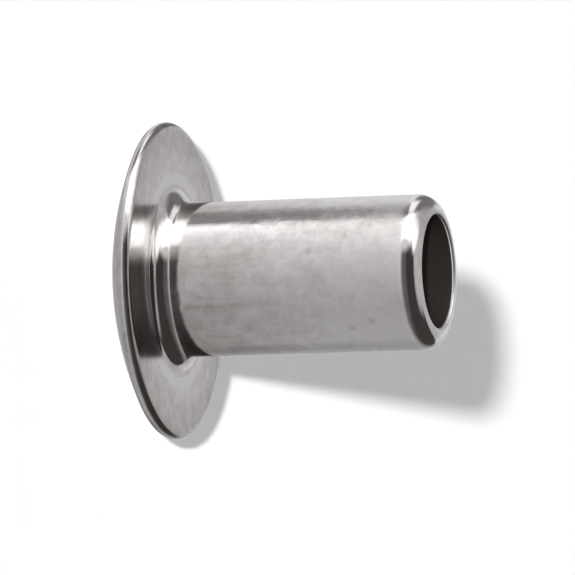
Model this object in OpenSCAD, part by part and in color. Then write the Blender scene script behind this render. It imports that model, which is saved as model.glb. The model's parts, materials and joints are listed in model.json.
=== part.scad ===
// Hollow rivet: a low domed head on a round shank, with a blind bore in the shank's end.
// Millimetres. The origin is the centre of the face under the head, and +Z runs along the shank.

/* [Head] */
// Diameter of the head over its rim
head_d = 7.4; // [6.5:0.05:9]
// Height of the head from the face under it to the top of its dome
head_h = 1.2; // [0.9:0.01:1.8]
// Radius of the rounded rim
rim_r = 0.16; // [0.05:0.01:0.4]

/* [Shank] */
// Diameter of the shank
shank_d = 3.6; // [3.4:0.01:4.2]
// Length of the shank from the face under the head
shank_l = 6.35; // [5.8:0.05:12]
// Radius of the fillet where the shank runs into the head
neck_r = 0.4; // [0.1:0.01:0.8]
// Radius of the rounded outer edge at the shank's end
end_r = 0.42; // [0.1:0.01:0.44]

/* [Bore] */
// Diameter of the bore
bore_d = 2.64; // [2.2:0.01:2.8]
// Depth of the bore's straight wall from the shank's end
bore_depth = 5; // [2:0.05:5.8]
// Angle of the cone at the bottom of the bore
bore_tip_angle = 118; // [90:1:150]
// Radius of the rounded inner edge at the bore's mouth
mouth_r = 0.04; // [0.02:0.005:0.08]

/* [Hidden] */

nickel = [0.74, 0.73, 0.70];
// Smoothness of the round faces
round_fn = 96;
// Overlap of cutting shapes past the faces that they cut
past = 1;

shank_r = shank_d / 2;
bore_r = bore_d / 2;
tip_h = bore_r / tan(bore_tip_angle / 2);

// The outer edge's round leaves the mouth's round its place on the end face
end_round = min(end_r, shank_r - bore_r - mouth_r);

// The rim is an arc that touches the face under the head and the inside of the dome's arc
rim_centre = [head_d / 2 - rim_r, -rim_r];
dome_r = (rim_centre.x * rim_centre.x / (head_h - 2 * rim_r) + head_h) / 2;
dome_centre = [0, dome_r - head_h];
// Direction from the dome's centre through the point where dome and rim touch
touch_dir = (rim_centre - dome_centre) / norm(rim_centre - dome_centre);

// Half section of the head: the dome's arc up to the rim, the rim's arc, and the face under the head
module head_section() {
    outside = rim_centre + touch_dir * head_d;
    difference() {
        intersection() {
            translate(dome_centre) circle(r = dome_r, $fn = 4 * round_fn);
            translate([0, -head_h - past]) square([head_d, head_h + past]);
        }
        polygon([[rim_centre.x, past], rim_centre, outside, [outside.x, past]]);
    }
    translate(rim_centre) circle(r = rim_r, $fn = round_fn);
}

// Corner left over between a square corner at the origin and an arc that touches both its sides
module corner_fill(radius) {
    difference() {
        square(radius);
        translate([radius, radius]) circle(r = radius, $fn = round_fn);
    }
}

// Half section of the shank, with its fillet under the head and its rounded end
module shank_section() {
    difference() {
        square([shank_r, shank_l]);
        translate([shank_r, shank_l]) rotate(180) corner_fill(end_round);
    }
    translate([shank_r, 0]) corner_fill(neck_r);
}

// Half section of the bore, with the cone at its bottom and the rounded edge at its mouth
module bore_section() {
    wall_end = shank_l - bore_depth;
    polygon([
        [0, wall_end - tip_h],
        [bore_r, wall_end],
        [bore_r, shank_l + past],
        [0, shank_l + past]
    ]);
    translate([bore_r, shank_l]) mirror([0, 1]) corner_fill(mouth_r);
}

// The whole rivet, turned from its half section
module rivet() {
    color(nickel) rotate_extrude($fn = round_fn) difference() {
        union() {
            head_section();
            shank_section();
        }
        bore_section();
    }
}

rivet();
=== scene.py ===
"""Hollow rivet in bright nickel plate, standing on its domed head."""
import json
import math

import bpy
import numpy as np
from mathutils import Matrix, Vector


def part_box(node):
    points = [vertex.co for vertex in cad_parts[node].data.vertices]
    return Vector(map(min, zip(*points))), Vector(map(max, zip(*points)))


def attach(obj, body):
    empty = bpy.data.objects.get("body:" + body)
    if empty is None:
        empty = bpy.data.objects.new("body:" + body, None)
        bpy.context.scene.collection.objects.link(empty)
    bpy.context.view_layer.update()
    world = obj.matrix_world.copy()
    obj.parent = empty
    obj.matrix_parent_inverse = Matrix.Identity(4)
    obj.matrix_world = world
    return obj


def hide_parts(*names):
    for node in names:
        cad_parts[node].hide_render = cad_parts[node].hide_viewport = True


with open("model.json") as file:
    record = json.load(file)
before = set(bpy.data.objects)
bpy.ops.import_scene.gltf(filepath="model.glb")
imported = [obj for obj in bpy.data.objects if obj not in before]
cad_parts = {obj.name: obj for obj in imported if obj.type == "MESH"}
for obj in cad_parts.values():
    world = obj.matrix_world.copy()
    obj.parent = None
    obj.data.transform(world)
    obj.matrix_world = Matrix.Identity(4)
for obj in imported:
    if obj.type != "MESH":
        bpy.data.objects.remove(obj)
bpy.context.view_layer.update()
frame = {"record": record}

MM = 0.001

# Sizes of the rivet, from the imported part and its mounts
mounts = {mount["name"]: mount for mount in frame["record"]["mounts"]}
low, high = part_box("rivet")
head_r = high.x
head_h = -low.z
shank_top = high.z
shank_r = mounts["shank"]["dims"]["r_mm"] * MM
shank_half = mounts["shank"]["dims"]["length_mm"] * MM / 2
bore_r = mounts["bore"]["dims"]["r_mm"] * MM
bore_half = mounts["bore"]["dims"]["length_mm"] * MM / 2
neck_r = mounts["shank"]["pos_m"][2] - shank_half
end_r = shank_top - mounts["shank"]["pos_m"][2] - shank_half
mouth_r = shank_top - mounts["bore"]["pos_m"][2] - bore_half
bore_floor = mounts["bore"]["pos_m"][2] - bore_half

# Sizes that the frame doesn't hold, as in the part's source
rim_r = 0.16 * MM
tip_angle = math.radians(118)

# View of the photograph: the lens looks down on the open end, with the shank lying to the right
view_lift = math.radians(17.4)
view_roll = math.radians(2.0)
image_px = 575
px_per_m = 42.92 / MM
seat_px = (177.8, 280.6)
lens_away = 279.6 * MM
sensor_mm = 36

# Share of light that the floor's paper gives back
paper_white = 0.89

# Ways of the view before its roll, and the camera's own ways after it
level_right = Vector((0, math.sin(view_lift), math.cos(view_lift)))
level_up = Vector((-1, 0, 0))
lensward = Vector((0, -math.cos(view_lift), math.sin(view_lift)))
rightward = math.cos(view_roll) * level_right - math.sin(view_roll) * level_up
upward = math.sin(view_roll) * level_right + math.cos(view_roll) * level_up


class Field:
    """A socket of a node tree that can be reckoned with: each operator adds one Math node."""

    def __init__(self, tree, socket=None):
        self.tree = tree
        self.socket = socket

    def node(self, kind, settings=None, sockets=None, output=0):
        """Adds a node of that type with its settings, then feeds its sockets with values or links."""
        made = self.tree.nodes.new(kind)
        for name, value in (settings or {}).items():
            setattr(made, name, value)
        for key, value in (sockets or {}).items():
            if isinstance(value, Field):
                self.tree.links.new(value.socket, made.inputs[key])
            else:
                made.inputs[key].default_value = value
        return Field(self.tree, made.outputs[output] if len(made.outputs) else None)

    def math(self, operation, first, second=0.0):
        return self.node("ShaderNodeMath", {"operation": operation}, {0: first, 1: second})

    def __add__(self, other):
        return self.math("ADD", self, other)

    def __radd__(self, other):
        return self.math("ADD", other, self)

    def __sub__(self, other):
        return self.math("SUBTRACT", self, other)

    def __rsub__(self, other):
        return self.math("SUBTRACT", other, self)

    def __mul__(self, other):
        return self.math("MULTIPLY", self, other)

    def __rmul__(self, other):
        return self.math("MULTIPLY", other, self)

    def __truediv__(self, other):
        return self.math("DIVIDE", self, other)

    def __rtruediv__(self, other):
        return self.math("DIVIDE", other, self)

    def rise(self, start, stop):
        """0 before start and 1 after stop, with a smooth step between; a start above stop falls instead."""
        return self.node(
            "ShaderNodeMapRange",
            {"interpolation_type": "SMOOTHSTEP"},
            {"Value": self, "From Min": start, "From Max": stop},
        )

    def toward(self, other, share):
        """This value where share is 0 and the other where it is 1."""
        return self + (other - self) * share

    def dot(self, way):
        """How far this vector points along a way."""
        return self.node("ShaderNodeVectorMath", {"operation": "DOT_PRODUCT"}, {0: self, 1: way}, "Value")

    def stretched(self, scale):
        """This vector with each axis multiplied by its own scale."""
        return self.node("ShaderNodeVectorMath", {"operation": "MULTIPLY"}, {0: self, 1: scale})

    def near(self, spot, reach):
        """1 close to a spot, falling to 0 at that reach from it."""
        apart = self.node("ShaderNodeVectorMath", {"operation": "DISTANCE"}, {0: self, 1: spot}, "Value")
        return apart.rise(reach, reach * 0.2)

    def noise(self, scale, detail=2.0, roughness=0.5, distortion=0.0):
        """Cloudy values about 0.5, with scale cells to each unit of this vector."""
        sockets = {
            "Vector": self,
            "Scale": scale,
            "Detail": detail,
            "Roughness": roughness,
            "Distortion": distortion,
        }
        return self.node("ShaderNodeTexNoise", None, sockets, "Fac")

    def tint(self, dark, light):
        """The colour that lies this share of the way from dark to light."""
        return self.node(
            "ShaderNodeMix", {"data_type": "RGBA"}, {"Factor": self, 6: (*dark, 1), 7: (*light, 1)}, 2
        )


def arc(centre, radius, start, stop, count):
    """Arc of a circle: centre plus radius times (cos, sin) of count angles, from start to stop in degrees."""
    turn = np.radians(np.linspace(start, stop, count))
    return np.array(centre) + radius * np.stack([np.cos(turn), np.sin(turn)], axis=1)


def half_section():
    """Half section of the rivet as (radius, height) points, from the dome's top round to the bore's tip.

    The rim's arc touches the seat from below and the dome from inside, so the dome's radius follows from
    rim_x squared = (dome_r - rim_r) squared - (dome_r - head_h + rim_r) squared.
    The last number of each stretch is its count of points.
    """
    rim_x = head_r - rim_r
    dome_r = (rim_x**2 / (head_h - 2 * rim_r) + head_h) / 2
    dome_z = dome_r - head_h
    touch = math.degrees(math.atan2(-rim_r - dome_z, rim_x))
    tip_z = bore_floor - bore_r / math.tan(tip_angle / 2)
    stretches = [
        arc((0, dome_z), dome_r, -90, touch, 40),
        arc((rim_x, -rim_r), rim_r, touch, 90, 26),
        np.linspace((rim_x, 0), (shank_r + neck_r, 0), 22),
        arc((shank_r + neck_r, neck_r), neck_r, 270, 180, 28),
        np.linspace((shank_r, neck_r), (shank_r, shank_top - end_r), 60),
        arc((shank_r - end_r, shank_top - end_r), end_r, 0, 90, 26),
        np.linspace((shank_r - end_r, shank_top), (bore_r + mouth_r, shank_top), 3),
        arc((bore_r + mouth_r, shank_top - mouth_r), mouth_r, 90, 180, 8),
        np.linspace((bore_r, shank_top - mouth_r), (bore_r, bore_floor), 30),
        np.linspace((bore_r, bore_floor), (0, tip_z), 10),
    ]
    return np.concatenate([stretches[0]] + [stretch[1:] for stretch in stretches[1:]])


def turned(name, section, columns=320):
    """Mesh of a half section carried round Z: (r cos a, r sin a, z), with both ends closed at the axis."""
    turn = np.linspace(0, 2 * math.pi, columns, endpoint=False)
    radius, height = section[1:-1, 0, None], section[1:-1, 1, None]
    rings = np.stack([radius * np.cos(turn), radius * np.sin(turn), height + 0 * turn], axis=2)
    poles = [(0, 0, section[0, 1]), (0, 0, section[-1, 1])]
    points = np.concatenate([rings.reshape(-1, 3), poles])
    index = np.arange(rings.shape[0] * columns).reshape(-1, columns)
    beside = np.roll(index, -1, axis=1)
    quads = np.stack([index[:-1], beside[:-1], beside[1:], index[1:]], axis=2).reshape(-1, 4)
    first, last = index.size, index.size + 1
    start_fan = np.stack([0 * index[0] + first, beside[0], index[0]], axis=1)
    stop_fan = np.stack([index[-1], beside[-1], 0 * index[0] + last], axis=1)
    mesh = bpy.data.meshes.new(name)
    mesh.from_pydata(points.tolist(), [], quads.tolist() + start_fan.tolist() + stop_fan.tolist())
    mesh.shade_smooth()
    return mesh


def placed(name, mesh, material):
    piece = bpy.data.objects.new(name, mesh)
    piece.data.materials.append(material)
    bpy.context.scene.collection.objects.link(piece)
    return piece


def new_material(name):
    """An empty material and the field that its nodes start from."""
    material = bpy.data.materials.new(name)
    material.use_nodes = True
    material.node_tree.nodes.clear()
    return material, Field(material.node_tree)


def nickel_plate():
    """Bright nickel over a tumbled blank, with the marks of its making and its wear.

    Mottling all over, draw marks along the shank and turned rings on the seat, then one long scuff and
    three flecks on the shank. Places are in millimetres here, and the relief is in microns.
    """
    material, start = new_material("nickel_plate")
    place = start.node("ShaderNodeTexCoord", None, None, "Object").stretched((1 / MM,) * 3)
    across = place.dot((1, 0, 0))
    depth = place.dot((0, 1, 0))
    height = place.dot((0, 0, 1))
    flat = place.stretched((1, 1, 0))
    radius = start.node("ShaderNodeVectorMath", {"operation": "LENGTH"}, {0: flat}, "Value")
    neck, top, wall_r = neck_r / MM, shank_top / MM, bore_r / MM
    side_r, rim_edge = shank_r / MM, head_r / MM
    seat_r = (shank_r + neck_r) / MM
    round_z = (shank_top - end_r) / MM

    # Where each face of the rivet lies
    on_shank = height.rise(neck * 0.5, neck * 1.5)
    on_end = height.rise(round_z - 0.08, round_z + 0.08)
    on_seat = (1 - on_shank) * radius.rise(seat_r - 0.05, seat_r + 0.05) * height.rise(-0.1, -0.02)
    inside = radius.rise(wall_r + 0.03, wall_r + 0.01) * height.rise(neck, neck + 0.1)
    deep = inside * height.rise(top - 0.03, top - 0.08)
    lip = radius.rise(wall_r + 0.07, wall_r + 0.04) * height.rise(top - 0.2, top - 0.1)
    along = height.rise(neck, round_z)

    # Marks of the making
    mottle = place.noise(3.2, 4.0, 0.55, 0.4)
    dimple = place.noise(2.6, 1.5, 0.4, 0.3)
    cloud = place.noise(1.3, 2.0, 0.5)
    grain = place.noise(16.0, 3.0, 0.6)
    drawn = place.stretched((9, 9, 0.6)).noise(1.0, 3.0, 0.6)
    rings = start.node(
        "ShaderNodeTexNoise", {"noise_dimensions": "1D"}, {"W": radius, "Scale": 11.0, "Detail": 4.0}, "Fac"
    )

    # One long scuff that fades towards the end, and three flecks given by their places across and along
    scuff_x, scuff_half = 0.64, 0.11
    scuff_low, scuff_full, scuff_fades, scuff_high = 0.5, 0.8, 1.0, 3.4
    flecks = ((-0.57, 3.72), (1.07, 5.15), (1.25, 4.63))
    fleck_reach, fleck_strength = 0.15, 1.3
    scuff = across.math("ABSOLUTE", across - scuff_x).rise(scuff_half, 0.0) * on_shank * depth.rise(0.2, -0.2)
    scuff = scuff * height.rise(scuff_low, scuff_full) * height.rise(scuff_high, scuff_fades)
    for fleck_x, fleck_z in flecks:
        fleck_y = -math.sqrt(side_r**2 - fleck_x**2)
        scuff = scuff + place.near((fleck_x, fleck_y, fleck_z), fleck_reach) * fleck_strength

    # Tone from dark to light nickel: a painted highlight ring by the neck, painted shade on the seat by the
    # rim, and a painted slant of light and shade that lightens or darkens the shank from its neck to its end,
    # by the place across it
    dark_nickel, light_nickel = (0.41, 0.388, 0.376), (0.75, 0.732, 0.73)
    # The bore's near-black colour is painted shade for the dark deep inside the hole
    bore_painted_shade = (0.0072, 0.006, 0.0055)
    # Painted highlight: a lighter ring on the seat just outside the neck
    painted_highlight_ring = on_seat * radius.rise(seat_r + 0.02, seat_r + 0.1) * radius.rise(seat_r + 0.42, seat_r + 0.2)
    # Painted shade: the seat darkens towards the rim
    painted_rim_shade = on_seat * radius.rise(rim_edge - 1.2, rim_edge - 0.2)
    # Painted light and shade: the slant lightens or darkens the shank along its length, by the place across
    # it
    painted_light_slant = across.rise(-1.25, -0.3) * 0.9 - 0.35
    painted_light_slant = painted_light_slant + across.rise(0.8, 1.6) * 0.4 + across.rise(-1.35, -1.6) * 1.2
    tone = 0.70 + (mottle - 0.5) * 1.05 + (cloud - 0.5) * 0.5 + (grain - 0.5) * 0.3
    tone = tone + (drawn - 0.5) * on_shank * 0.35 + (along - 0.5) * on_shank * painted_light_slant
    tone = tone + painted_highlight_ring * 0.4 - painted_rim_shade * 0.4 - scuff * 0.3
    colour = tone.tint(dark_nickel, light_nickel)
    # Painted shade deep in the bore: the colour goes near black there, and the shader below makes it mostly
    # non-metal
    colour = start.node(
        "ShaderNodeMix", {"data_type": "RGBA"}, {"Factor": deep, 6: colour, 7: (*bore_painted_shade, 1)}, 2
    )

    polished, lip_rough, bore_rough = 0.09, 0.45, 0.55
    worn = along * (1 - on_end)
    rough = polished + on_seat * 0.1 + worn * 0.2 + (mottle - 0.5) * 0.08 + (drawn - 0.5) * worn * 0.1
    rough = rough.toward(lip_rough, lip).toward(bore_rough, deep)

    # Relief in microns, full in the middle of the shank and faint by the neck and the rounded end
    dimple_um, mottle_um, grain_um, drawn_um, rings_um, scuff_um = 11, 3, 0.8, 1.6, 3.0, 2
    open_wall = 0.15 + height.rise(neck + 0.3, neck + 2.4) * height.rise(round_z, round_z - 1.0) * 0.85
    open_wall = open_wall * (1 - on_end * 0.6)
    relief = (dimple * dimple_um + mottle * mottle_um + grain * grain_um) * open_wall
    relief = relief + drawn * on_shank * (1 - on_end) * drawn_um
    relief = relief + rings * on_seat * rings_um - scuff * scuff_um
    micron = 0.001 * MM
    bump = start.node(
        "ShaderNodeBump", None, {"Strength": 1.0, "Distance": micron, "Height": relief}, "Normal"
    )
    shader = start.node(
        "ShaderNodeBsdfPrincipled",
        None,
        {"Base Color": colour, "Metallic": 1 - deep * 0.9, "Roughness": rough, "Normal": bump},
    )
    start.node("ShaderNodeOutputMaterial", None, {"Surface": shader})
    return material


def pale_paper():
    """The floor's paper: near white, with a faint cloudy tooth."""
    material, start = new_material("pale_paper")
    place = start.node("ShaderNodeTexCoord", None, None, "Object")
    tooth = place.noise(900.0, 3.0)
    tooth_depth = 0.01
    colour = tooth.tint((paper_white - tooth_depth,) * 3, (paper_white + tooth_depth,) * 3)
    shader = start.node("ShaderNodeBsdfPrincipled", None, {"Base Color": colour, "Roughness": 0.9})
    start.node("ShaderNodeOutputMaterial", None, {"Surface": shader})
    return material


def swept_floor(columns=128):
    """Floor as a turned profile: flat under the rivet, then a quarter circle up to a low wall far off."""
    flat_r, sweep_r, wall_h = 300 * MM, 20 * MM, 45 * MM
    profile = np.concatenate([
        np.linspace((0, 0), (flat_r, 0), 12),
        arc((flat_r, sweep_r), sweep_r, 270, 360, 10)[1:],
        [(flat_r + sweep_r, wall_h)],
    ])
    turn = np.linspace(0, 2 * math.pi, columns, endpoint=False)
    radius, height = profile[1:, 0, None], profile[1:, 1, None]
    rings = np.stack([radius * np.cos(turn), radius * np.sin(turn), height - head_h + 0 * turn], axis=2)
    points = np.concatenate([rings.reshape(-1, 3), [(0, 0, -head_h)]])
    index = np.arange(rings.shape[0] * columns).reshape(-1, columns)
    beside = np.roll(index, -1, axis=1)
    quads = np.stack([index[:-1], index[1:], beside[1:], beside[:-1]], axis=2).reshape(-1, 4)
    fan = np.stack([index[0], beside[0], 0 * index[0] + index.size], axis=1)
    mesh = bpy.data.meshes.new("floor")
    mesh.from_pydata(points.tolist(), [], quads.tolist() + fan.tolist())
    mesh.shade_smooth()
    return mesh


def studio_world():
    """Surroundings that only mirrored rays see, as a level of grey for each way that a ray can leave.

    A way is told by how far it points to the right, up and to the front of the view. Pale walls lie all
    round, with a dark front, a dark gap above and behind, and a dark far side. The lamps are a softbox
    above, a side lamp at the right and a far lamp behind the softbox.
    """
    world = bpy.data.worlds.new("studio")
    world.use_nodes = True
    world.node_tree.nodes.clear()
    start = Field(world.node_tree)
    way = start.node("ShaderNodeTexCoord", None, None, "Generated")
    right, up, front = way.dot(level_right), way.dot(level_up), way.dot(lensward)
    over = up + right * 0.4
    under = up.math("MINIMUM", up, 0.0)
    behind = front - up * 0.83
    # 0 for every ray off the shank's straight side, and more as the face turns towards the open end
    turned_out = right + (front + 1) * math.tan(view_lift)

    far_right, far_left = right.rise(0.48, 0.6), right.rise(-0.62, -0.85)
    low_back = front.rise(-0.4, -0.8) * up.rise(-0.05, -0.3) * right.rise(0.45, 0.2)
    left_back = front.rise(-0.55, -0.85) * right.rise(-0.02, -0.2)
    wall = 0.47 + over.rise(-1.1, 0.1) * 0.2 + over.rise(-0.2, 0.6) * 0.2
    wall = wall * (1 - far_right * 0.32) * (1 - far_left * 0.22)
    wall = wall * (1 - low_back * 0.3) * (1 - left_back * 0.4)

    dark_front = turned_out.rise(0.1, 0.45) * up.rise(0.66, 0.42) * right.rise(0.96, 0.86)
    dark_front = dark_front * (front - under * 3.4).rise(0.3, 0.46)
    dark_gap = behind.rise(-0.8, -0.94) * up.rise(0.72, 0.92)
    dark_side = behind.rise(-0.8, -1.0) * right.rise(0.02, 0.2) * up.rise(0.12, 0.28)

    softbox = over.rise(0.35, 0.65) * front.rise(0.69, 0.53) * behind.rise(-0.95, -0.72)
    softbox = softbox * right.rise(-0.49, -0.25) * right.rise(0.75, 0.2)
    corner = behind.rise(-0.62, -0.8) * up.rise(0.42, 0.55)
    side_lamp = right.rise(0.45, 0.7) * up.rise(0.24, 0.42) * (1 - corner)
    side_lamp = side_lamp * front.rise(-0.3, 0.1) * front.rise(0.6, 0.38)
    far_lamp = right.rise(-0.03, 0.07) * right.rise(0.44, 0.28) * up.rise(0.5, 0.68)
    far_lamp = far_lamp * front.rise(-0.75, -0.5) * front.rise(0.4, 0.2)

    front_level = 0.05 + right.rise(0.35, 0.05) * 0.08
    side_level = 0.2 + right.rise(0.55, 0.75) * 0.15
    softbox_level = 1.65 + right.rise(-0.35, 0.25) * 1.6
    gap_level, side_lamp_level, far_lamp_level = 0.3, 1.7, 1.2
    level = wall.toward(front_level, dark_front).toward(side_level, dark_side).toward(gap_level, dark_gap)
    level = level.toward(side_lamp_level, side_lamp).toward(far_lamp_level, far_lamp)
    level = level.toward(softbox_level, softbox)
    more_red, less_blue = 0.006, 0.002
    warmed = start.node(
        "ShaderNodeCombineColor",
        None,
        {"Red": level + more_red, "Green": level, "Blue": level - less_blue},
    )
    light = start.node("ShaderNodeBackground", None, {"Color": warmed, "Strength": 1.0})
    start.node("ShaderNodeOutputWorld", None, {"Surface": light})
    world.cycles_visibility.diffuse = False
    bpy.context.scene.world = world


def floor_lamp(name, travel, level, casts):
    """A sun that lights the floor alone, to that share of white; it isn't mirrored in the metal."""
    lamp = bpy.data.lights.new(name, "SUN")
    travel = Vector(travel).normalized()
    lamp.energy = level * math.pi / (paper_white * -travel.z)
    lamp.angle = math.radians(1.5)
    lamp.use_shadow = casts
    sun = bpy.data.objects.new(name, lamp)
    sun.rotation_mode = "QUATERNION"
    sun.rotation_quaternion = travel.to_track_quat("-Z", "Y")
    sun.visible_glossy = False
    bpy.context.scene.collection.objects.link(sun)


def photo_camera():
    """Camera of the photograph, which puts the seat's centre at its pixel and keeps the scale."""
    data = bpy.data.cameras.new("camera")
    data.sensor_width = sensor_mm
    data.lens = sensor_mm * lens_away * px_per_m / image_px
    data.clip_start, data.clip_end = 0.01, 2
    camera = bpy.data.objects.new("camera", data)
    aside = (image_px / 2 - seat_px[0]) / px_per_m
    below = (image_px / 2 - seat_px[1]) / px_per_m
    spot = rightward * aside - upward * below + lensward * lens_away
    turn = Matrix((rightward, upward, lensward)).transposed().to_4x4()
    camera.matrix_world = Matrix.Translation(spot) @ turn
    bpy.context.scene.collection.objects.link(camera)
    bpy.context.scene.camera = camera


photo_camera()
rivet = placed("rivet_nickel", turned("rivet_nickel", half_section()), nickel_plate())
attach(rivet, "root")
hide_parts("rivet")

floor = placed("floor", swept_floor(), pale_paper())
floor.visible_glossy = False
studio_world()

# The light that casts the shadow travels low over the floor, and the two suns share out the floor's white
shadow_travel = (0.27, 3.92, -1)
shadow_share, fill_share = 0.59, 0.40
floor_lamp("shadow_sun", shadow_travel, shadow_share, True)
floor_lamp("fill_sun", -lensward, fill_share, False)
bpy.context.scene.view_settings.view_transform = "Standard"
